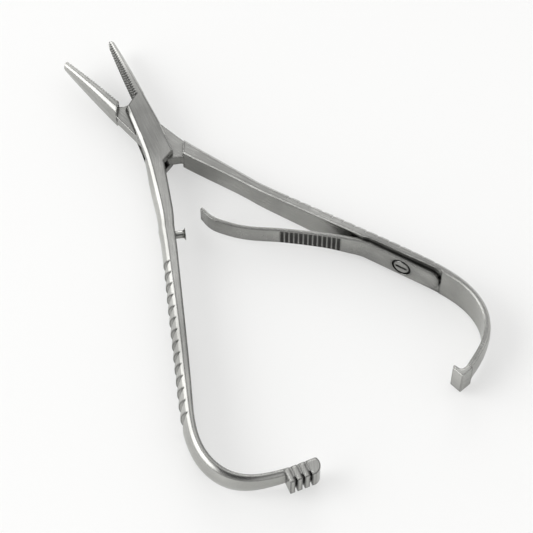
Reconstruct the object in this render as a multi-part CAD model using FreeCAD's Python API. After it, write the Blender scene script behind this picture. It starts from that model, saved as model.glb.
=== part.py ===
import FreeCAD, Part
import math
import os

# Surgical needle holder lying flat, in mm. Z is up, z = 0 is the underside of the box joint and the pivot
# axis is x = y = 0.
# Each arm is drawn closed, its jaw on +Y and its handle on -Y, and is then opened about the pivot.

V = FreeCAD.Vector
UP = V(0, 0, 1)

# Overall sizes
THICK = 6.4
MID = THICK / 2
HALF_OPEN = 10.4
BELOW = -4.0
TALL = 16.0

# Arm stations: x and y of the gripping hand's inner face, full thickness, flat top width, half height
BOX_SIDE = [(13.4, 0.37, 4.1, 3.0, MID), (5.0, 0.26, 4.2, 3.05, MID), (0.0, 0.2, 4.35, 3.2, MID)]
BOX_HANDLE = [
    (-6.0, -0.08, 4.5, 3.3, MID),
    (-12.5, -1.31, 4.6, 3.0, MID),
    (-20.0, -3.01, 4.4, 2.6, MID),
    (-29.0, -5.52, 4.0, 2.2, MID),
    (-39.15, -8.3, 3.8, 2.0, 3.6),
    (-51.4, -11.95, 3.75, 1.6, 4.05),
    (-63.6, -15.55, 3.65, 1.4, 4.5),
    (-75.8, -19.3, 3.4, 1.15, 4.85),
    (-82.75, -21.35, 3.0, 1.0, 4.8),
    (-88.9, -22.0, 2.6, 1.0, 4.4),
    (-94.3, -20.6, 2.3, 0.95, 3.8),
    (-97.95, -17.65, 2.1, 0.9, 3.3),
    (-99.95, -13.5, 1.9, 0.9, 2.85),
    (-100.7, -9.65, 1.8, 0.9, 2.6),
    (-101.0, -6.1, 1.8, 0.9, 2.45),
]
THROUGH_HANDLE = [
    (-6.0, -0.08, 4.4, 3.2, MID),
    (-12.5, -1.5, 4.5, 2.9, MID),
    (-20.0, -3.55, 4.0, 2.35, MID),
    (-29.3, -5.95, 3.45, 1.75, MID),
    (-40.0, -8.85, 3.25, 1.75, 3.6),
    (-51.5, -12.2, 3.3, 1.8, 4.05),
    (-63.0, -15.65, 3.3, 1.65, 4.5),
    (-75.0, -19.3, 3.15, 1.3, 4.85),
    (-82.0, -21.0, 2.8, 1.05, 4.95),
    (-88.0, -21.55, 2.4, 0.85, 4.85),
    (-93.2, -20.55, 2.1, 0.85, 4.6),
    (-97.5, -17.9, 1.8, 0.85, 4.1),
    (-99.7, -15.0, 1.6, 0.8, 3.9),
    (-101.3, -10.9, 1.4, 0.8, 3.7),
    (-102.4, -6.6, 1.4, 0.8, 3.55),
]
LEVEL_STATIONS = 4
BEVEL = 0.8
BEVEL_SHARE = 0.35
INNER_CHAMFER = 0.25
SPARE = 0.3

# Grip lobes on the outer faces, each rising towards the hand and ending in a notch
LOBES = 14
LOBE_FIRST_X = -39.4
LOBE_CREST = 0.45
LOBE_BULGE = 0.3
BOX_LOBE_PITCH = 3.3
BOX_LOBE_DEPTH = 1.75
THROUGH_LOBE_PITCH = 3.12
THROUGH_LOBE_DEPTH = 2.15

# Jaws: sections of (y, height above mid-thickness) going outwards from the inner face
BOX_JAW_ROOT_X = 13.2
THROUGH_JAW_ROOT_X = 9.0
JAW_MIDDLE_X = 24.0
JAW_TIP_X = 34.1
JAW_TURN = -0.6
BOX_JAW_ROOT = [(0.0, 3.0), (0.2, 3.2), (1.9, 3.2), (2.3, 2.75), (2.55, 0.0)]
THROUGH_JAW_ROOT = [(0.0, 3.35), (0.2, 3.55), (1.9, 3.55), (2.75, 2.75), (3.05, 0.0)]
JAW_MIDDLE = [(0.0, 2.6), (0.2, 2.8), (1.3, 2.8), (1.9, 2.2), (2.1, 0.0)]
JAW_TIP = [(0.0, 1.2), (0.2, 1.4), (0.9, 1.4), (1.4, 0.95), (1.6, 0.0)]
TEETH_PITCH = 0.85
TEETH_WIDTH = 0.7
TEETH_DEPTH = 0.4
TEETH_X = (14.2, 33.0)
TEETH_ROWS = (-1.0, 0.0, 1.0)

# Box joint
BOX_WALL = [(13.4, 2.3), (1.8, 2.76), (-7.4, 2.5), (-9.5, -0.7)]
BOX_RIM = 0.3
BOX_FRONT = [(13.5, 0.9), (12.75, -0.14), (10.5, -2.75), (10.5, -6.0)]
SLOT_HALF = 1.45
SLOT = [(13.35, 6.0), (13.35, -0.2), (16.0, -6.0), (-5.0, -6.0), (-6.55, -4.1), (-10.3, 0.57), (-10.3, 6.0)]
NECK = [
    (14.6, 0.49), (13.2, 0.07), (12.9, -0.33), (12.35, -0.84), (12.1, -1.84), (11.4, -2.35),
    (1.6, -3.98), (-6.8, -4.49), (-9.0, -4.5), (-11.5, -2.65), (-11.5, -1.75), (-9.9, -0.53),
    (-8.5, 1.54), (-6.2, 3.52), (-1.2, 3.8), (1.2, 3.5), (3.2, 3.14), (10.4, 2.73), (14.6, 2.19),
]
NECK_SIDE_CLEARANCE = 0.05
PIN_R = 1.6
PIN_RUNNING_CLEARANCE = 0.05
JAW_STEP = [(13.3, 0.0), (10.9, 3.1)]
HANDLE_SHOULDER = [(-7.65, -3.7), (-10.3, -1.13)]

# Ratchet block and hook at the hand end
BLOCK_X = (-105.1, -101.3)
BLOCK_Y = (-7.25, 0.75)
BLOCK_HALF = 2.7
RATCHET_Y = (-5.8, -3.98, -2.15)
RATCHET_WIDTH = 0.65
RATCHET_DEPTH = 1.2
RATCHET_TOP_DEPTH = 0.2
HOOK_END_Y = -3.6
HOOK_LIP = 0.85
HOOK_LIP_X = -100.5
HOOK_HALF = 3.7

# Leaf spring stations on its back face: x, y, thickness, half height
PAD_START = (-80.65, -21.0)
PAD_END = (-61.85, -15.6)
SPRING = [
    (-57.04, -12.94, 1.0, 3.0),
    (-52.38, -9.78, 0.9, 2.6),
    (-44.16, -3.57, 0.9, 2.45),
    (-37.04, 2.42, 0.85, 2.45),
    (-33.07, 5.27, 0.85, 2.45),
    (-29.29, 6.62, 0.8, 2.45),
    (-25.69, 6.47, 0.75, 2.2),
]
SPRING_TIP_ALONG = (1.0, -0.24)
PAD_THICK = 1.1
SEAT_SPARE = 0.5
PAD_HALF = 3.15
GRIP_SLOTS = 13
GRIP_SLOT_PITCH = 1.18
GRIP_SLOT_WIDTH = 0.6
GRIP_SLOT_DEPTH = 0.25
GRIP_SLOT_FIRST_X = -55.05
GRIP_SLOT_MARGIN = 0.5

# Spring screw and stop stud
SCREW_X = -71.0
SCREW_HEAD_R = 2.05
SCREW_HEAD_GAP = 0.3
SCREW_HEAD_SUNK = 0.65
SCREW_SLOT = (3.0, 0.4, 0.3)
SCREW_SHANK_R = 1.1
SCREW_DEPTH = 2.0
STUD_X = -30.1
STUD_SHANK_R = 0.95
STUD_HEAD_R = 1.55
STUD_REACH = 2.6
STUD_SUNK = 1.2


def prism(points, z0, z1):
    outline = Part.makePolygon([V(x, y, z0) for x, y in points] + [V(*points[0], z0)])
    return Part.Face(outline).extrude(V(0, 0, z1 - z0))


def tall_prism(points):
    return prism(points, BELOW, BELOW + TALL)


def tall_hole(radius, x=0.0, y=0.0):
    return Part.makeCylinder(radius, TALL, V(x, y, BELOW))


def guide(stations):
    curve = Part.BSplineCurve()
    curve.interpolate([V(s[0], s[1], 0) for s in stations])
    return curve


def frames(stations):
    """Point and outward direction at each station of a path whose left side is the outer side."""
    curve = guide(stations)
    found = []
    for s in stations:
        at = curve.parameter(V(s[0], s[1], 0))
        along = curve.tangent(at)[0]
        found.append((curve.value(at), V(-along.y, along.x, 0)))
    return found


def bar_section(frame, station, spare):
    """D-shaped wire: flat inner face, flat top and bottom, bevels and a bulging outer face."""
    point, out = frame
    thick, flat, half = station[2:]
    bevel = min(BEVEL, BEVEL_SHARE * thick)

    def at(n, z):
        return point + out * n + UP * (MID + z)

    inner = [(INNER_CHAMFER + spare, half + spare), (0, half - INNER_CHAMFER)]
    inner += [(n, -z) for n, z in reversed(inner)]
    outer = [(flat - spare, -half - spare), (flat + bevel, bevel - half)]
    corners = [at(flat - spare, half + spare)] + [at(*p) for p in inner + outer]
    edges = [Part.makeLine(a, b) for a, b in zip(corners, corners[1:])]
    top = at(flat + bevel, half - bevel)
    edges.append(Part.Arc(corners[-1], at(thick, 0), top).toShape())
    edges.append(Part.makeLine(top, corners[0]))
    return Part.Wire(edges)


def bar(stations, level):
    """Arm in two lofts: the first keeps a level top and bottom, the second grows taller."""
    places = frames(stations)
    front = [bar_section(p, s, SPARE) for p, s in zip(places[:level], stations)]
    slab = Part.makeBox(300, 300, THICK, V(-200, -150, 0))
    level_part = Part.makeLoft(front, True, False).common(slab)
    rear = [bar_section(p, s, 0) for p, s in zip(places[level - 1:], stations[level - 1:])]
    return level_part.fuse(Part.makeLoft(rear, True, False))


def along_path(stations, x):
    """Point, outward direction and thickness where a path passes x."""
    curve = guide(stations)
    plane = Part.Line(V(x, -100, 0), V(x, 100, 0))
    point = curve.intersect(plane)[0]
    at = curve.parameter(V(point.X, point.Y, 0))
    along = curve.tangent(at)[0]
    near = [s for s in zip(stations, stations[1:]) if s[1][0] <= x <= s[0][0]][0]
    share = (x - near[0][0]) / (near[1][0] - near[0][0])
    thick = near[0][2] + share * (near[1][2] - near[0][2])
    return curve.value(at), V(-along.y, along.x, 0), thick


def lobes(stations, pitch, depth):
    """What is cut away outside each lobe: a steep notch wall, then a bulging rise to the next crest."""
    cutters = []
    x = LOBE_FIRST_X
    for _ in range(LOBES):
        foot, out, thick = along_path(stations, x)
        step = pitch * abs(out.y)
        crest, crest_out, crest_thick = along_path(stations, x + LOBE_CREST)
        middle, middle_out, middle_thick = along_path(stations, x - step / 2)
        last, last_out, last_thick = along_path(stations, x - step + LOBE_CREST)
        start = crest + crest_out * crest_thick
        notch = foot + out * (thick - depth)
        bulge = middle + middle_out * (middle_thick - LOBE_BULGE)
        end = last + last_out * last_thick
        rise = Part.Arc(notch, bulge, end).toShape()
        around = Part.makePolygon([end, end + last_out * 2, start + crest_out * 2, start, notch]).Edges
        cutters.append(Part.Face(Part.Wire([rise] + around)).extrude(V(0, 0, TALL)))
        cutters[-1].translate(V(0, 0, BELOW))
        x -= step
    return cutters


def jaw_section(x, half):
    upper = [V(x, y, MID + z) for y, z in half]
    lower = [V(x, y, MID - z) for y, z in reversed(half[:-1])]
    points = upper + lower
    return Part.makePolygon(points + [points[0]])


def jaw(root_x, root):
    places = [(root_x, root), (JAW_MIDDLE_X, JAW_MIDDLE), (JAW_TIP_X, JAW_TIP)]
    blank = Part.makeLoft([jaw_section(*place) for place in places], True, False)
    start = V(JAW_TIP_X - 0.7, -1, -1)
    end = V(JAW_TIP_X - 1.5, 2.4, -1)
    nose = Part.Arc(start, V(JAW_TIP_X, 0.6, -1), end).toShape()
    back = Part.makePolygon([end, V(end.x, 4, -1), V(8, 4, -1), V(8, -1, -1), start])
    plan = Part.Face(Part.Wire([nose] + back.Edges)).extrude(V(0, 0, THICK + 2))
    return blank.common(plan).cut(teeth())


def turned_jaw(root_x, root, turn):
    """Jaw turned about the pivot: the jaws meet a little beside the line between the handles."""
    return jaw(root_x, root).rotated(V(0, 0, 0), UP, turn)


def teeth():
    """Notches across and along the inner face of a jaw."""
    cutters = []
    count = int((TEETH_X[1] - TEETH_X[0]) / TEETH_PITCH) + 1
    w = TEETH_WIDTH / 2
    for n in range(count):
        x = TEETH_X[0] + n * TEETH_PITCH
        cutters.append(tall_prism([(x - w, -0.01), (x + w, -0.01), (x, TEETH_DEPTH)]))
    for dz in TEETH_ROWS:
        z = MID + dz
        start = TEETH_X[0] - w
        points = [V(start, -0.01, z - w), V(start, -0.01, z + w), V(start, TEETH_DEPTH, z)]
        row = Part.Face(Part.makePolygon(points + [points[0]]))
        cutters.append(row.extrude(V(22, 0, 0)))
    return cutters


def box_front_cutter():
    return tall_prism(BOX_FRONT + [(30, -6.0), (30, 0.0), (13.5, 0.0)])


def box_wall():
    wall = prism(BOX_WALL + [(-9.5, -1.5), (13.4, -1.5)], 0, THICK)
    rims = []
    for e in wall.Edges:
        box = e.BoundBox
        if box.YMin > BOX_WALL[0][1] - 0.01 and box.ZLength < 0.01:
            rims.append(e)
    return wall.makeChamfer(BOX_RIM, rims)


def ratchet_block():
    x0, x1 = BLOCK_X
    y0, y1 = BLOCK_Y
    z0 = MID - BLOCK_HALF
    z1 = MID + BLOCK_HALF
    start = [V(x0, y1 - 1.7, z0), V(x0, y0, z0), V(x1, y0, z0), V(x1, y1 - 0.5, z0)]
    corner = Part.Arc(start[-1], V(x1 - 0.15, y1 - 0.15, z0), V(x1 - 0.5, y1, z0)).toShape()
    nose = Part.Arc(V(x1 - 0.5, y1, z0), V(x0 + 0.75, y1 - 0.5, z0), start[0]).toShape()
    outline = Part.Wire(Part.makePolygon(start).Edges + [corner, nose])
    block = Part.Face(outline).extrude(V(0, 0, z1 - z0))
    cutters = []
    for y in RATCHET_Y:
        low = y - RATCHET_WIDTH / 2
        deep = x0 + RATCHET_DEPTH - RATCHET_WIDTH / 2
        cutters.append(Part.makeBox(1 + deep - x0, RATCHET_WIDTH, TALL, V(x0 - 1, low, BELOW)))
        cutters.append(tall_hole(RATCHET_WIDTH / 2, deep, y))
        cutters.append(Part.makeBox(10, RATCHET_WIDTH, TALL, V(x0 - 1, low, z1 - RATCHET_TOP_DEPTH)))
    return block.cut(cutters)


def hook():
    y = HOOK_END_Y
    z0 = MID - HOOK_HALF
    under = y - HOOK_LIP
    outer = [V(-103.95, y - 3.4, z0), V(-103.85, y, z0), V(HOOK_LIP_X - 0.3, y, z0)]
    nose = Part.Arc(outer[-1], V(HOOK_LIP_X, y - 0.3, z0), V(HOOK_LIP_X, under, z0)).toShape()
    lip = [V(HOOK_LIP_X, under, z0), V(-101.4, under - 0.1, z0)]
    root = V(-102.5, under - 1.3, z0)
    fillet = Part.Arc(lip[-1], V(-102.2, under - 0.45, z0), root).toShape()
    back = [root, V(-102.6, y - 3.4, z0), outer[0]]
    edges = Part.makePolygon(outer).Edges + [nose] + Part.makePolygon(lip).Edges + [fillet]
    outline = Part.Wire(edges + Part.makePolygon(back).Edges)
    return Part.Face(outline).extrude(V(0, 0, 2 * HOOK_HALF))


def opened(shape, mirrored):
    """Carries a closed piece to the open position: the box arm's side is mirrored, then turned back."""
    turn = -HALF_OPEN if mirrored else HALF_OPEN
    if mirrored:
        shape = shape.mirror(V(0, 0, 0), V(0, 1, 0))
    return shape.rotated(V(0, 0, 0), UP, turn)


def box_arm():
    stations = BOX_SIDE + BOX_HANDLE
    side = bar(stations, len(BOX_SIDE) + LEVEL_STATIONS)
    front_jaw = turned_jaw(BOX_JAW_ROOT_X, BOX_JAW_ROOT, -JAW_TURN)
    body = side.fuse([box_wall(), front_jaw, ratchet_block()])
    cutters = lobes(stations, BOX_LOBE_PITCH, BOX_LOBE_DEPTH) + [box_front_cutter(), stud_hole()]
    cutters.append(prism(SLOT, MID - SLOT_HALF, MID + SLOT_HALF))
    cutters.append(tall_hole(PIN_R))
    return opened(body.cut(cutters).removeSplitter(), True)


def neck():
    half = SLOT_HALF - NECK_SIDE_CLEARANCE
    return prism(NECK, MID - half, MID + half)


def through_arm():
    handle = bar(THROUGH_HANDLE, LEVEL_STATIONS)
    front = HANDLE_SHOULDER + [(-6.0, 6.0), (0, 6.0), (0, -9.0), (-2.5, -9.0)]
    handle = handle.cut(tall_prism(front))
    step = tall_prism(JAW_STEP + [(10.6, 6.0), (5.0, 6.0), (5.0, -2.0), (13.3, -2.0)])
    front_jaw = turned_jaw(THROUGH_JAW_ROOT_X, THROUGH_JAW_ROOT, JAW_TURN).cut(step)
    body = handle.fuse([front_jaw, neck(), hook()])
    cutters = lobes(THROUGH_HANDLE, THROUGH_LOBE_PITCH, THROUGH_LOBE_DEPTH)
    cutters += [spring_seat(), blade(SEAT_SPARE), screw_hole()]
    cutters.append(tall_hole(PIN_R + PIN_RUNNING_CLEARANCE))
    return opened(body.cut(cutters).removeSplitter(), False)


def pad_direction():
    return (V(*PAD_END, 0) - V(*PAD_START, 0)).normalize()


def spring_seat():
    """Flat milled on the through arm's inner face, in the plane of the spring's pad."""
    along = pad_direction()
    out = V(-along.y, along.x, 0)
    start = V(*PAD_START, 0) - along * 0.2
    end = V(*PAD_END, 0) + along * 0.2
    corners = [start, end, end + out * 2, start + out * 2]
    return tall_prism([(p.x, p.y) for p in corners])


def screw_frame():
    along = pad_direction()
    start = V(*PAD_START, 0)
    foot = start + along * ((SCREW_X - start.x) / along.x)
    return V(foot.x, foot.y, MID), V(-along.y, along.x, 0)


def screw_hole():
    foot, out = screw_frame()
    return Part.makeCylinder(SCREW_SHANK_R, SCREW_DEPTH + 1, foot - out * SCREW_DEPTH, out)


def spring_section(point, out, thick, half):
    corners = [(0, -half), (0, half), (thick, half), (thick, -half)]
    points = [point + out * n + UP * (MID + z) for n, z in corners]
    return Part.makePolygon(points + [points[0]])


def spring_pad():
    along = pad_direction()
    pad = Part.makeBox((V(*PAD_END, 0) - V(*PAD_START, 0)).Length, PAD_THICK, 2 * PAD_HALF)
    ends = [e for e in pad.Edges if e.BoundBox.YLength > 1 and e.BoundBox.XMax < 0.01]
    pad = pad.makeFillet(PAD_HALF - 0.7, ends)
    pad.translate(V(0, 0, MID - PAD_HALF))
    pad.rotate(V(0, 0, 0), UP, math.degrees(math.atan2(along.y, along.x)))
    pad.translate(V(*PAD_START, 0))
    return pad


def blade_curve():
    curve = Part.BSplineCurve()
    points = [V(s[0], s[1], 0) for s in [PAD_END] + SPRING]
    curve.interpolate(Points=points, InitialTangent=pad_direction(), FinalTangent=V(*SPRING_TIP_ALONG, 0))
    return curve


def blade(spare):
    """The spring beyond its pad. With some spare on all but its back it also cuts the seat."""
    curve = blade_curve()
    wires = []
    for s in [(*PAD_END, PAD_THICK, PAD_HALF)] + SPRING:
        point = V(s[0], s[1], 0)
        ahead = curve.tangent(curve.parameter(point))[0]
        wires.append(spring_section(point, V(-ahead.y, ahead.x, 0), s[2] + spare, s[3] + 10 * spare))
    return Part.makeLoft(wires, True, False)


def leaf_spring():
    curve = blade_curve()
    foot, out = screw_frame()
    sunk = foot + out * (PAD_THICK - SCREW_HEAD_SUNK)
    cutters = [Part.makeCylinder(SCREW_HEAD_R + SCREW_HEAD_GAP, 3, sunk, out)]
    cutters.append(Part.makeCylinder(SCREW_SHANK_R, 3, foot - out, out))
    x = GRIP_SLOT_FIRST_X
    for n in range(GRIP_SLOTS):
        place = nearest(curve, x)
        ahead = curve.tangent(place)[0]
        side = V(-ahead.y, ahead.x, 0)
        cutters.append(grip_slot(curve.value(place), ahead, side))
        x += GRIP_SLOT_PITCH * ahead.x
    spring = blade(0).fuse(spring_pad())
    return opened(spring.cut(cutters).removeSplitter(), False)


def nearest(curve, x):
    hit = curve.intersect(Part.Line(V(x, -100, 0), V(x, 100, 0)))[0]
    return curve.parameter(V(hit.X, hit.Y, 0))


def grip_slot(point, ahead, side):
    """Shallow slot across the near face, round at its top and open at its bottom."""
    w = GRIP_SLOT_WIDTH / 2
    blade = SPRING[1]
    base = point + side * (blade[2] - GRIP_SLOT_DEPTH)
    top = MID + blade[3] - GRIP_SLOT_MARGIN - w
    corners = [base - ahead * w, base + ahead * w, base + ahead * w + side, base - ahead * w + side]
    body = prism([(p.x, p.y) for p in corners], BELOW, top)
    return body.fuse(Part.makeCylinder(w, 1, V(base.x, base.y, top), side))


def spring_screw():
    foot, out = screw_frame()
    along = pad_direction()
    length, width, deep = SCREW_SLOT
    shank = Part.makeCylinder(SCREW_SHANK_R, SCREW_DEPTH + PAD_THICK / 2, foot - out * SCREW_DEPTH, out)
    head = Part.makeCylinder(SCREW_HEAD_R, SCREW_HEAD_SUNK, foot + out * (PAD_THICK - SCREW_HEAD_SUNK), out)
    rim = [e for e in head.Edges if e.Curve.TypeId == "Part::GeomCircle"]
    rim = [e for e in rim if (e.Curve.Center - foot).Length > PAD_THICK - 0.01]
    head = head.makeChamfer(0.12, rim)
    slot = Part.makeBox(length, width, 2 * deep, V(-length / 2, 0, -deep))
    slot.rotate(V(0, 0, 0), UP, math.degrees(math.atan2(along.y, along.x)))
    slot.translate(foot + out * (PAD_THICK - deep))
    return opened(shank.fuse(head).removeSplitter().cut(slot), False)


def joint_pin():
    return Part.makeCylinder(PIN_R, THICK)


def stud_place():
    """Carries a shape drawn along +Z to the box arm's inner face, still in the closed position."""
    point, out, _ = along_path(BOX_SIDE + BOX_HANDLE, STUD_X)
    return FreeCAD.Placement(V(point.x, point.y, MID), FreeCAD.Rotation(UP, -out))


def stud_hole():
    hole = Part.makeCylinder(STUD_SHANK_R, STUD_SUNK + 1, V(0, 0, -STUD_SUNK))
    hole.Placement = stud_place()
    return hole


def stop_stud():
    r = STUD_SHANK_R
    flare_start = V(r, 0, STUD_REACH - 0.75)
    rim = V(STUD_HEAD_R, 0, STUD_REACH - 0.15)
    flare = Part.Arc(flare_start, V(r + 0.15, 0, STUD_REACH - 0.4), rim).toShape()
    foot = V(0, 0, -STUD_SUNK)
    shank = Part.makePolygon([foot, V(r, 0, -STUD_SUNK), flare_start]).Edges
    top = Part.makePolygon([rim, V(STUD_HEAD_R, 0, STUD_REACH), V(0, 0, STUD_REACH), foot]).Edges
    stud = Part.Face(Part.Wire(shank + [flare] + top)).revolve(V(0, 0, 0), UP, 360)
    stud.Placement = stud_place()
    return opened(stud, True)


def main():
    os.makedirs("parts", exist_ok=True)
    pieces = {
        "box_arm": box_arm(),
        "through_arm": through_arm(),
        "joint_pin": joint_pin(),
        "leaf_spring": leaf_spring(),
        "spring_screw": spring_screw(),
        "stop_stud": stop_stud(),
    }
    for name, shape in pieces.items():
        print(name, shape.isValid(), len(shape.Solids), round(shape.Volume, 1))
        shape.exportStep("parts/" + name + ".step")


main()
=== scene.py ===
import bpy
import math
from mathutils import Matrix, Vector


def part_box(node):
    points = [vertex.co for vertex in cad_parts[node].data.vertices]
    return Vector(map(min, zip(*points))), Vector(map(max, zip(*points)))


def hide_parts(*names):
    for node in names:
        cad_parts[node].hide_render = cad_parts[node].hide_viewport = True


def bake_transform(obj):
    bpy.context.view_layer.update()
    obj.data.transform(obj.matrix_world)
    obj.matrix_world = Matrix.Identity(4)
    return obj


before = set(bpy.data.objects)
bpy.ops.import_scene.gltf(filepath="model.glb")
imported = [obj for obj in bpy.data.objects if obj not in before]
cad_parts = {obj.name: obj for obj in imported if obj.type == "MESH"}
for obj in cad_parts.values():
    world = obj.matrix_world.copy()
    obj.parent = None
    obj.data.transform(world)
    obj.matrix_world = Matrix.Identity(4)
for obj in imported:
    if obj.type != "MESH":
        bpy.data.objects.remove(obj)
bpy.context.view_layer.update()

FLOOR_Z = min(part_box(name)[0][2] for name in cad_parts)

# All lengths are in metres. Turn of an open arm from its closed place, and turn of its handle
ARM_OPENING = math.radians(10.4)
HANDLE_TURN = math.radians(27)

# Camera: place, direction and lens that match the photograph
CAMERA_PLACE = Vector((-0.2525, 0.1318, 0.365))
CAMERA_LOOK = Vector((0.4668, -0.3078, -0.8290))
CAMERA_LENS = 120.9
CAMERA_SENSOR = 36.0
CAMERA_NEAREST = 0.01

# Steel pattern: streaks, clouds and patches to a metre, and where the grain turns towards the jaw
GRAIN_ALONG = 160.0
GRAIN_ACROSS = 5200.0
GRAIN_DETAIL = 3.0
GRAIN_SHARE = 0.6
GRAIN_BUMP = 0.25
GRAIN_RELIEF = 0.00002
GRAIN_TURNS = (-0.010, -0.005)
CLOUDS = 190.0
CLOUD_DETAIL = 4.0
PATCHES = 42.0
PATCH_DETAIL = 2.0

# How far the pattern changes tone and roughness, and the limits of the tone
PATTERN_SPAN = (0.3, 0.7)
PATCH_SPAN = (0.35, 0.65)
PATTERN_MOTTLE = 0.6
PATCH_MOTTLE = 0.5
SMOOTHER = 0.06
ROUGHER = 0.08
BRIGHTEST = 0.92
BLUE_SHARE = 0.96

# Edges and corners: how wide and round they look, and the tone that painted shade leaves there, with a
# painted highlight line on each edge
EDGE_SAMPLES = 6
FLAT_FACE = 0.999
# Painted highlight line on each edge: its width and where it is full
PAINTED_HIGHLIGHT_WIDTH = 0.00020
PAINTED_HIGHLIGHT_FULL = 0.94
# Painted shade along the edges: its width, where it is full, and the tone left at the edge
PAINTED_SHADE_WIDTH = 0.00056
PAINTED_SHADE_FULL = 0.975
EDGE_PAINTED_SHADE = 0.26
EDGE_ROUND = 0.00016
CURL_ROUND = 0.00100
CURL_SPAN = (-0.085, -0.072)
# Painted shade in corners and creases: reach, tone left there, samples and span
CREVICE = 0.0009
CREVICE_PAINTED_SHADE = 0.12
WIDE_CREVICE = 4.0 * CREVICE
WIDE_CREVICE_PAINTED_SHADE = 0.52
CREVICE_SAMPLES = 8
CREVICE_SPAN = (0.15, 0.85)
PIN_REACH = 0.0030
PIN_FADE = 0.0004

# Painted shade on the middle of the box's top: where it comes in and goes out, on faces that point
# upwards
BOX_SHADE_REAR = (-0.010, -0.001)
BOX_SHADE_FRONT = (0.006, 0.018)
BOX_SHADE_FRONT_SHARE = 0.15
FACES_UP = (0.93, 0.97)
BOX_PAINTED_SHADE_TONE = 0.70

# Painted shade between the fine teeth of the jaw whose inner side is seen, and painted highlights on
# their tips: places along the jaw and across its closing edge
TOOTH_PITCH = 0.00085
TEETH_FROM = 0.0138
TEETH_TO = 0.0335
TEETH_FADE = 0.0003
JAW_LEAN = 0.0105
TEETH_BAND = (-0.00075, -0.00060)
TIP_BAND = (-0.00045, -0.00030)
# Painted shade in the gaps and on the teeth, and the painted highlight on their tips
GAP_PAINTED_SHADE = 0.52
TOOTH_PAINTED_SHADE = 0.18
TIP_PAINTED_HIGHLIGHT = 0.26

# Leaf spring: the points that its back follows, seen from above with the arms closed
SPRING_BACK = [
    (-0.08065, -0.0210), (-0.06185, -0.0156), (-0.05704, -0.01294),
    (-0.05238, -0.00973), (-0.04416, -0.00325), (-0.03704, 0.00290),
    (-0.03307, 0.00520), (-0.02929, 0.00662), (-0.02569, 0.00647),
]
SPRING_TAPER = [1.0, 1.0, 0.93, 0.83, 0.79, 0.78, 0.78, 0.77, 0.70]
PATH_STEPS = 24
BEND_START = 0.28
SPRING_MID_Z = 0.0032
SPRING_THICK = 0.0011
SPRING_HALF = 0.00315
SPRING_RINGS = 64
SPRING_EDGE = 0.00010
RINGS_FROM = 0.017
PAD_ROUND = 0.00245

# Slots across the leaf, and the round seat of its screw. Places run from the pad's free end
SLOT_COUNT = 13
SLOT_START = 0.02710
SLOT_PITCH = 0.00118
SLOT_WIDTH = 0.00080
SLOT_DEEP = 0.00034
SLOT_TOP = 0.0026
SLOT_MIDDLE = SLOT_START + 0.5 * (SLOT_COUNT - 1) * SLOT_PITCH
SLOTS_REACH = 0.0078
SCREW_ALONG = 0.01005
SCREW_RING = 0.00258
SCREW_HOLE = 0.00112
SCREW_SUNK = 0.00065
RING_CUT_TOP = 0.003
HOLE_CUT = (-0.001, 0.001)
SAME_LEVEL = 0.00003
FACES_FRONT = 0.9

# Floor, which glows a little for the camera so that shadows stay as pale as in the photograph
FLOOR_SIZE = 6.0
FLOOR_WHITE = (0.94, 0.94, 0.93, 1)
FLOOR_ROUGH = 0.9
FLOOR_GLOW = (0.93, 0.93, 0.925, 1)
GLOW_SHARE = 0.5

# Soft patches of the white tent: azimuth, elevation, inner and outer half angle, added strength
TENT_STRENGTH = 0.85
TENT_PATCHES = [
    (29, 12, 8, 20, 2.0),
    (70, 20, 20, 33, 2.1),
    (-33, 18, 12, 26, 2.0),
    (130, 45, 22, 40, -0.74),
    (12, 44, 6, 16, -0.5),
]

# Main light: azimuth and elevation in degrees, distance, width and height, watts
KEY_FROM = (62, 42)
KEY_DISTANCE = 1.0
KEY_SIZE = (0.6, 0.5)
KEY_WATTS = 2.4


class Nodes:
    """A node tree being built, with short names for adding and joining nodes."""

    def __init__(self, tree):
        self.tree = tree

    def join(self, value, socket):
        """Leads a node's output to a socket, or sets the socket to a plain value."""
        if isinstance(value, bpy.types.NodeSocket):
            self.tree.links.new(value, socket)
        else:
            socket.default_value = value

    def add(self, kind, sockets=(), **settings):
        node = self.tree.nodes.new(kind)
        for key, value in settings.items():
            setattr(node, key, value)
        for key, value in dict(sockets).items():
            self.join(value, node.inputs[key])
        return node

    def math(self, operation, a, b=0.0):
        return self.add("ShaderNodeMath", {0: a, 1: b}, operation=operation).outputs["Value"]

    def times(self, product, *factors):
        for factor in factors:
            product = self.math("MULTIPLY", product, factor)
        return product

    def ranged(self, value, low, high, to_low, to_high, smooth=False):
        """Carries a value from one range to another and holds it at the new ends."""
        limits = {"Value": value, "From Min": low, "From Max": high, "To Min": to_low, "To Max": to_high}
        way = "SMOOTHSTEP" if smooth else "LINEAR"
        return self.add("ShaderNodeMapRange", limits, interpolation_type=way).outputs["Result"]

    def alike(self, a, b):
        """1 where two directions are the same, less where they part."""
        return self.add("ShaderNodeVectorMath", {0: a, 1: b}, operation="DOT_PRODUCT").outputs["Value"]


class Finish(Nodes):
    """The nodes of one material."""

    def __init__(self, name):
        self.material = bpy.data.materials.new(name)
        self.material.use_nodes = True
        super().__init__(self.material.node_tree)
        self.shader = self.tree.nodes["Principled BSDF"]

    def surface(self, **values):
        """Sets the shader's inputs. An underscore in a name stands for a space."""
        for key, value in values.items():
            self.join(value, self.shader.inputs[key.replace("_", " ")])


def noise(finish, place, scale, detail):
    sockets = {"Vector": place, "Scale": scale, "Detail": detail}
    return finish.add("ShaderNodeTexNoise", sockets).outputs["Fac"]


def turned_place(finish, place, turn, size=(1, 1, 1)):
    """Place seen from axes that are turned about Z and divided by the size."""
    sockets = {"Vector": place, "Rotation": (0, 0, turn), "Scale": size}
    return finish.add("ShaderNodeMapping", sockets, vector_type="TEXTURE").outputs["Vector"]


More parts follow.
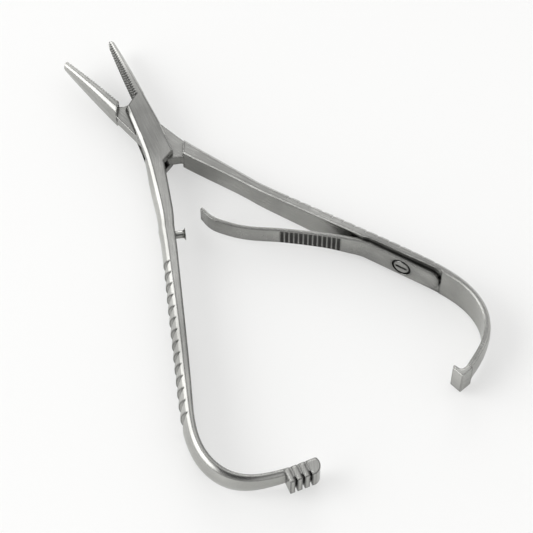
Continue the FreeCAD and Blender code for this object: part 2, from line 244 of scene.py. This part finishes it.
def axis(finish, place, name):
    return finish.add("ShaderNodeSeparateXYZ", {0: place}).outputs[name]


def softened(finish, radius):
    """Normal of the surface as if its edges were rounded by the radius."""
    return finish.add("ShaderNodeBevel", {"Radius": radius}, samples=EDGE_SAMPLES).outputs["Normal"]


def edge_mask(finish, radius, full):
    """1 at an edge, 0 further from it than the radius."""
    flat = finish.add("ShaderNodeNewGeometry").outputs["True Normal"]
    return finish.ranged(finish.alike(softened(finish, radius), flat), FLAT_FACE, full, 0.0, 1.0)


def painted_corner_shade(finish, distance, least):
    """Painted shade in corners: 1 on open faces, down to the least value in a corner narrower than the
    distance.
    """
    corner = finish.add("ShaderNodeAmbientOcclusion", {"Distance": distance}, samples=CREVICE_SAMPLES)
    return finish.ranged(corner.outputs["AO"], *CREVICE_SPAN, least, 1.0, smooth=True)


def away_from_pin(finish, place):
    """0 over the joint pin, which is ground flush with the box and hardly seen, 1 elsewhere."""
    flat = finish.add("ShaderNodeVectorMath", {0: place, 1: (1, 1, 0)}, operation="MULTIPLY")
    far = finish.add("ShaderNodeVectorMath", {0: flat.outputs["Vector"]}, operation="LENGTH")
    return finish.ranged(far.outputs["Value"], PIN_REACH, PIN_REACH + PIN_FADE, 0.0, 1.0)


def steel_grain(finish, place, handle_turn, jaw_turn):
    """Streaks along the handle behind the joint and along the jaw in front of it."""
    size = (1 / GRAIN_ALONG, 1 / GRAIN_ACROSS, 1 / GRAIN_ACROSS)
    handle = noise(finish, turned_place(finish, place, handle_turn, size), 1.0, GRAIN_DETAIL)
    jaw = noise(finish, turned_place(finish, place, jaw_turn, size), 1.0, GRAIN_DETAIL)
    forward = finish.ranged(axis(finish, place, "X"), *GRAIN_TURNS, 0.0, 1.0)
    return finish.add("ShaderNodeMix", {"Factor": forward, "A": handle, "B": jaw}).outputs["Result"]


def steel_shade(finish, place, clear, pattern, tone, mottle, painted_edge_highlight):
    """Mottled tone with painted shade near edges and in corners, and a painted highlight line on each
    edge.
    """
    fine = mottle * PATTERN_MOTTLE
    broad = mottle * PATCH_MOTTLE
    patches = noise(finish, place, PATCHES, PATCH_DETAIL)
    # Painted shade along the edges, kept off the joint pin
    painted_edge_shade = finish.times(edge_mask(finish, PAINTED_SHADE_WIDTH, PAINTED_SHADE_FULL), clear)
    shade = finish.times(
        finish.ranged(pattern, *PATTERN_SPAN, tone * (1 - fine), tone * (1 + fine)),
        finish.ranged(patches, *PATCH_SPAN, 1 - broad, 1 + broad),
        finish.ranged(painted_edge_shade, 0.0, 1.0, 1.0, EDGE_PAINTED_SHADE))
    # Painted shade in corners and creases, left off the joint pin
    open_share = finish.times(
        painted_corner_shade(finish, CREVICE, CREVICE_PAINTED_SHADE), painted_corner_shade(finish, WIDE_CREVICE, WIDE_CREVICE_PAINTED_SHADE))
    open_share = finish.math("MAXIMUM", open_share, finish.math("SUBTRACT", 1.0, clear))
    # Painted highlight line along each edge, less in corners
    painted_highlight = finish.times(edge_mask(finish, PAINTED_HIGHLIGHT_WIDTH, PAINTED_HIGHLIGHT_FULL), open_share, clear, painted_edge_highlight)
    return finish.math("ADD", finish.times(shade, open_share), painted_highlight)


def painted_teeth_shading(finish, place):
    """Painted shade in the gaps between the fine teeth of a jaw, and painted highlights on the tips along
    its upper edge.
    """
    closed = turned_place(finish, place, -ARM_OPENING)
    along, inward = axis(finish, closed, "X"), axis(finish, closed, "Y")
    wave = finish.math("SINE", finish.times(along, 2 * math.pi / TOOTH_PITCH))
    row = finish.ranged(wave, -0.5, 0.5, 0.0, 1.0, smooth=True)
    start = finish.ranged(along, TEETH_FROM - TEETH_FADE, TEETH_FROM + TEETH_FADE, 0.0, 1.0)
    end = finish.ranged(along, TEETH_TO - TEETH_FADE, TEETH_TO + TEETH_FADE, 1.0, 0.0)
    # The band follows the jaw, which is turned a little away from the closing line
    across = finish.math("ADD", inward, finish.times(along, JAW_LEAN))
    band = finish.ranged(across, *TEETH_BAND, 0.0, 1.0)
    upper = finish.ranged(across, *TIP_BAND, 1.0, 0.0)
    toothed = finish.times(start, end, band)
    # Painted shade over the teeth, darkest in the gaps between them
    painted_shade = finish.times(toothed, finish.ranged(row, 0.0, 1.0, GAP_PAINTED_SHADE, TOOTH_PAINTED_SHADE))
    return finish.math("SUBTRACT", 1.0, painted_shade), finish.times(toothed, upper, row, TIP_PAINTED_HIGHLIGHT)


def painted_box_shade(finish, place):
    """Painted shade: the middle of the box's top is darker than its ends."""
    along = axis(finish, place, "X")
    rear = finish.ranged(along, *BOX_SHADE_REAR, 0.0, 1.0, smooth=True)
    front = finish.ranged(along, *BOX_SHADE_FRONT, 1.0, BOX_SHADE_FRONT_SHARE, smooth=True)
    upward = axis(finish, finish.add("ShaderNodeTexCoord").outputs["Normal"], "Z")
    top = finish.ranged(upward, *FACES_UP, 0.0, 1.0)
    return finish.ranged(finish.times(rear, front, top), 0.0, 1.0, 1.0, BOX_PAINTED_SHADE_TONE)


def steel(name, tone, rough, handle_turn=0.0, jaw_turn=0.0, mottle=0.25, painted_edge_highlight=0.18, box=False):
    """Satin steel: grain, clouds, painted shade in corners and near edges, and a painted highlight line
    on each edge. The box arm also gets painted shade and highlights on its fine teeth and painted shade
    on the middle of its top."""
    finish = Finish(name)
    place = finish.add("ShaderNodeTexCoord").outputs["Object"]
    clear = away_from_pin(finish, place)
    grain = steel_grain(finish, place, handle_turn, jaw_turn)
    clouds = noise(finish, place, CLOUDS, CLOUD_DETAIL)
    pattern = finish.math(
        "ADD", finish.times(grain, GRAIN_SHARE), finish.times(clouds, 1 - GRAIN_SHARE))
    shade = steel_shade(finish, place, clear, pattern, tone, mottle, painted_edge_highlight)
    if box:
        # Painted shade between the jaw's teeth and painted highlights on their tips
        teeth_shade, tip_highlights = painted_teeth_shading(finish, place)
        shade = finish.math("ADD", finish.times(shade, teeth_shade), tip_highlights)
        # Painted shade on the middle of the box's top
        shade = finish.times(shade, painted_box_shade(finish, place))
    shade = finish.math("MINIMUM", shade, BRIGHTEST)
    blue = finish.times(shade, BLUE_SHARE)
    colour = finish.add("ShaderNodeCombineColor", {"Red": shade, "Green": shade, "Blue": blue})
    # The curls at the ends of the handles are rounded more than the rest
    round_edge = finish.ranged(axis(finish, place, "X"), *CURL_SPAN, CURL_ROUND, EDGE_ROUND)
    bump = finish.add("ShaderNodeBump", {
        "Strength": GRAIN_BUMP, "Distance": GRAIN_RELIEF, "Height": grain,
        "Normal": softened(finish, finish.times(round_edge, clear))})
    finish.surface(
        Metallic=1.0, Base_Color=colour.outputs["Color"], Normal=bump.outputs["Normal"],
        Roughness=finish.ranged(pattern, *PATTERN_SPAN, rough - SMOOTHER, rough + ROUGHER))
    return finish.material


def paint(piece, material):
    """Puts one material on the whole of a CAD piece."""
    mesh = piece.data
    if not mesh.materials:
        mesh.materials.append(material)
    for n in range(len(mesh.materials)):
        mesh.materials[n] = material


def choose(piece, kind, wanted):
    """Opens a piece in edit mode with only the wanted faces or edges selected."""
    bpy.ops.object.mode_set(mode="EDIT")
    bpy.ops.mesh.select_mode(type=kind)
    bpy.ops.mesh.select_all(action="DESELECT")
    bpy.ops.object.mode_set(mode="OBJECT")
    for item in piece.data.polygons if kind == "FACE" else piece.data.edges:
        item.select = wanted(item)
    bpy.ops.object.mode_set(mode="EDIT")


def cut_across(place, normal):
    """Adds a ring of edges round the piece that is open in edit mode."""
    bpy.ops.mesh.select_all(action="SELECT")
    bpy.ops.mesh.bisect(plane_co=place, plane_no=normal)


def apply_modifier(piece, kind, **settings):
    modifier = piece.modifiers.new(kind.lower(), kind)
    for key, value in settings.items():
        setattr(modifier, key, value)
    bpy.ops.object.modifier_apply(modifier=modifier.name)


def round_pad_end(piece):
    """Rounds the two corners of the pad's free end, as seen from the front."""
    def at_corner(edge):
        ends = [piece.data.vertices[n].co for n in edge.vertices]
        through = abs(ends[0].y - ends[1].y) > 0.5 * SPRING_THICK
        return through and all(end.x < SAME_LEVEL for end in ends)

    choose(piece, "EDGE", at_corner)
    bpy.ops.mesh.bevel(offset=PAD_ROUND, segments=8)


def bending_rings(length):
    """Rings along the leaf, outside its pad and its slots, so that it bends smoothly."""
    for n in range(1, SPRING_RINGS):
        place = length * n / SPRING_RINGS
        if place > RINGS_FROM and abs(place - SLOT_MIDDLE) > SLOTS_REACH:
            cut_across((place, 0, 0), (1, 0, 0))


def finger_slots(piece):
    """A row of shallow slots across the front, from the lower edge to below the upper one."""
    for n in range(SLOT_COUNT):
        middle = SLOT_START + n * SLOT_PITCH
        for side in (-SLOT_WIDTH / 2, SLOT_WIDTH / 2):
            cut_across((middle + side, 0, 0), (1, 0, 0))
    cut_across((0, 0, SLOT_TOP), (0, 0, 1))

    def in_slot(face):
        past_first = face.center.x - SLOT_START
        n = round(past_first / SLOT_PITCH)
        inside = 0 <= n < SLOT_COUNT and abs(past_first - n * SLOT_PITCH) < SLOT_WIDTH / 4
        return inside and face.normal.y > FACES_FRONT and face.center.z < SLOT_TOP

    choose(piece, "FACE", in_slot)
    bpy.ops.mesh.extrude_region_move(TRANSFORM_OT_translate={"value": (0, -SLOT_DEEP, 0)})
    bpy.ops.object.mode_set(mode="OBJECT")


def screw_recess(piece):
    """Round recess and hole for the screw, each cut by its own cylinder."""
    ring_cut = (SPRING_THICK - SCREW_SUNK, RING_CUT_TOP)
    for radius, (low, high) in ((SCREW_RING, ring_cut), (SCREW_HOLE, HOLE_CUT)):
        bpy.ops.object.select_all(action="DESELECT")
        bpy.ops.mesh.primitive_cylinder_add(
            vertices=48, radius=radius, depth=high - low,
            location=(SCREW_ALONG, (low + high) / 2, 0), rotation=(math.pi / 2, 0, 0))
        cutter = bpy.context.object
        bpy.ops.object.select_all(action="DESELECT")
        piece.select_set(True)
        bpy.context.view_layer.objects.active = piece
        apply_modifier(piece, "BOOLEAN", operation="DIFFERENCE", object=cutter, solver="EXACT")
        bpy.data.objects.remove(cutter, do_unlink=True)


def paint_shade_on_sunk_floors(piece, metal, sunk_shade_metal):
    """Dark second metal as painted shade on the floors of the slots and of the screw's recess."""
    piece.data.materials.clear()
    piece.data.materials.append(metal)
    piece.data.materials.append(sunk_shade_metal)
    for face in piece.data.polygons:
        sunk = SLOT_DEEP if face.center.x > 0.5 * (SCREW_ALONG + SLOT_START) else SCREW_SUNK
        on_floor = abs(face.center.y - SPRING_THICK + sunk) < SAME_LEVEL
        face.material_index = 1 if on_floor and face.normal.y > FACES_FRONT else 0


def spring_path():
    """Bezier curve along the spring's back, with its pad straight, for the closed arms."""
    data = bpy.data.curves.new("spring_path", "CURVE")
    data.dimensions = "2D"
    data.resolution_u = PATH_STEPS
    line = data.splines.new("BEZIER")
    line.bezier_points.add(len(SPRING_BACK) - 1)
    for point, (x, y), size in zip(line.bezier_points, SPRING_BACK, SPRING_TAPER):
        point.co = (x, y, 0)
        point.radius = size
        point.handle_left_type = point.handle_right_type = "AUTO"
    pad_start, pad_end = line.bezier_points[0], line.bezier_points[1]
    pad_third = (pad_end.co - pad_start.co) / 3
    for point, onward in ((pad_start, pad_third), (pad_end, pad_third * BEND_START)):
        point.handle_left_type = point.handle_right_type = "FREE"
        point.handle_left = point.co - pad_third
        point.handle_right = point.co + onward
    path = bpy.data.objects.new("spring_path", data)
    bpy.context.scene.collection.objects.link(path)
    return path


def leaf_spring(metal, slot_shade_metal):
    """Leaf modelled flat and straight, then laid along its path for the closed arms and turned with the
    open arm.
    """
    path = spring_path()
    length = path.data.splines[0].calc_length()
    bpy.ops.object.select_all(action="DESELECT")
    bpy.ops.mesh.primitive_cube_add(size=1.0, location=(length / 2, SPRING_THICK / 2, 0))
    spring = bpy.context.object
    spring.name = "bending_leaf_spring"
    spring.scale = (length, SPRING_THICK, 2 * SPRING_HALF)
    bpy.ops.object.transform_apply(location=True, rotation=True, scale=True)
    round_pad_end(spring)
    bending_rings(length)
    finger_slots(spring)
    screw_recess(spring)
    # Painted shade: dark metal on the floors of the slots and the screw's recess
    paint_shade_on_sunk_floors(spring, metal, slot_shade_metal)
    apply_modifier(
        spring, "BEVEL", width=SPRING_EDGE, segments=2, limit_method="ANGLE",
        angle_limit=math.radians(40))
    apply_modifier(spring, "CURVE", object=path, deform_axis="POS_X")
    # With no window this operator turns the other way, so minus opens the arm
    bpy.ops.transform.rotate(value=-ARM_OPENING, orient_axis="Z", center_override=(0, 0, 0))
    bpy.ops.transform.translate(value=(0, 0, SPRING_MID_Z))
    bpy.ops.object.transform_apply(location=True, rotation=True, scale=True)
    bpy.ops.object.shade_smooth_by_angle(angle=math.radians(30))
    bpy.data.objects.remove(path, do_unlink=True)
    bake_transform(spring)
    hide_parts("leaf_spring")


def floor():
    bpy.ops.object.select_all(action="DESELECT")
    bpy.ops.mesh.primitive_plane_add(size=FLOOR_SIZE, location=(0, 0, FLOOR_Z))
    plane = bpy.context.object
    plane.name = "floor"
    white = Finish("floor_white")
    white.surface(Base_Color=FLOOR_WHITE, Roughness=FLOOR_ROUGH, Specular_IOR_Level=0.0)
    glow = white.add("ShaderNodeEmission", {"Color": FLOOR_GLOW}).outputs["Emission"]
    seen = white.add("ShaderNodeLightPath").outputs["Is Camera Ray"]
    share = white.times(seen, GLOW_SHARE)
    both = white.add("ShaderNodeMixShader", {0: share, 1: white.shader.outputs["BSDF"], 2: glow})
    white.join(both.outputs["Shader"], white.tree.nodes["Material Output"].inputs["Surface"])
    plane.data.materials.append(white.material)


def toward(azimuth, elevation):
    """Direction from the middle of the scene, by two angles in degrees."""
    a, e = math.radians(azimuth), math.radians(elevation)
    return Vector((math.cos(e) * math.cos(a), math.cos(e) * math.sin(a), math.sin(e)))


def tent():
    """White surroundings with brighter and darker patches, which the steel reflects."""
    world = bpy.data.worlds.new("tent")
    bpy.context.scene.world = world
    world.use_nodes = True
    sky = Nodes(world.node_tree)
    ray = sky.add("ShaderNodeTexCoord").outputs["Generated"]
    total = TENT_STRENGTH
    for azimuth, elevation, inner, outer, strength in TENT_PATCHES:
        near = sky.alike(ray, toward(azimuth, elevation))
        fade = (math.cos(math.radians(outer)), math.cos(math.radians(inner)))
        total = sky.math("ADD", sky.ranged(near, *fade, 0.0, strength, smooth=True), total)
    background = sky.tree.nodes["Background"]
    sky.join(total, background.inputs["Strength"])
    sky.join((1, 1, 1, 1), background.inputs["Color"])


def key_light():
    light = bpy.data.lights.new("key", "AREA")
    light.shape = "RECTANGLE"
    light.size, light.size_y = KEY_SIZE
    light.energy = KEY_WATTS
    lamp = bpy.data.objects.new("key", light)
    bpy.context.scene.collection.objects.link(lamp)
    lamp.location = toward(*KEY_FROM) * KEY_DISTANCE
    lamp.rotation_euler = (-toward(*KEY_FROM)).to_track_quat("-Z", "Y").to_euler()


def camera():
    data = bpy.data.cameras.new("camera")
    data.lens = CAMERA_LENS
    data.sensor_width = CAMERA_SENSOR
    data.clip_start = CAMERA_NEAREST
    eye = bpy.data.objects.new("camera", data)
    bpy.context.scene.collection.objects.link(eye)
    eye.location = CAMERA_PLACE
    eye.rotation_euler = CAMERA_LOOK.to_track_quat("-Z", "Y").to_euler()
    bpy.context.scene.camera = eye


# Grain, finish and painted edge highlights of each arm. The pin is ground flush with the box, so it
# shares its look
box_look = {
    "tone": 0.43, "rough": 0.21, "handle_turn": -HANDLE_TURN, "jaw_turn": -ARM_OPENING,
    "mottle": 0.24, "painted_edge_highlight": 0.14, "box": True,
}
through_turns = {"handle_turn": HANDLE_TURN, "jaw_turn": ARM_OPENING}
through_steel = steel(
    "through_arm_steel", tone=0.41, rough=0.23, mottle=0.28, painted_edge_highlight=0.50, **through_turns)
leaf_steel = steel("leaf_steel", tone=0.38, rough=0.24, mottle=0.26, painted_edge_highlight=0.35, **through_turns)
# Dark steel as painted shade on the floors of the leaf's slots and screw recess
slot_painted_shade_steel = steel("slot_painted_shade_steel", tone=0.05, rough=0.45, mottle=0.20, **through_turns)

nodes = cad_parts
paint(nodes["box_arm"], steel("box_arm_steel", **box_look))
paint(nodes["joint_pin"], steel("pin_steel", **box_look))
paint(nodes["through_arm"], through_steel)
paint(nodes["spring_screw"], steel("screw_steel", tone=0.36, rough=0.22, mottle=0.1))
paint(nodes["stop_stud"], steel("stud_steel", tone=0.50, rough=0.18, mottle=0.1))
leaf_spring(leaf_steel, slot_painted_shade_steel)

# Surroundings, light and camera
floor()
tent()
key_light()
camera()
bpy.context.scene.view_settings.view_transform = "Standard"
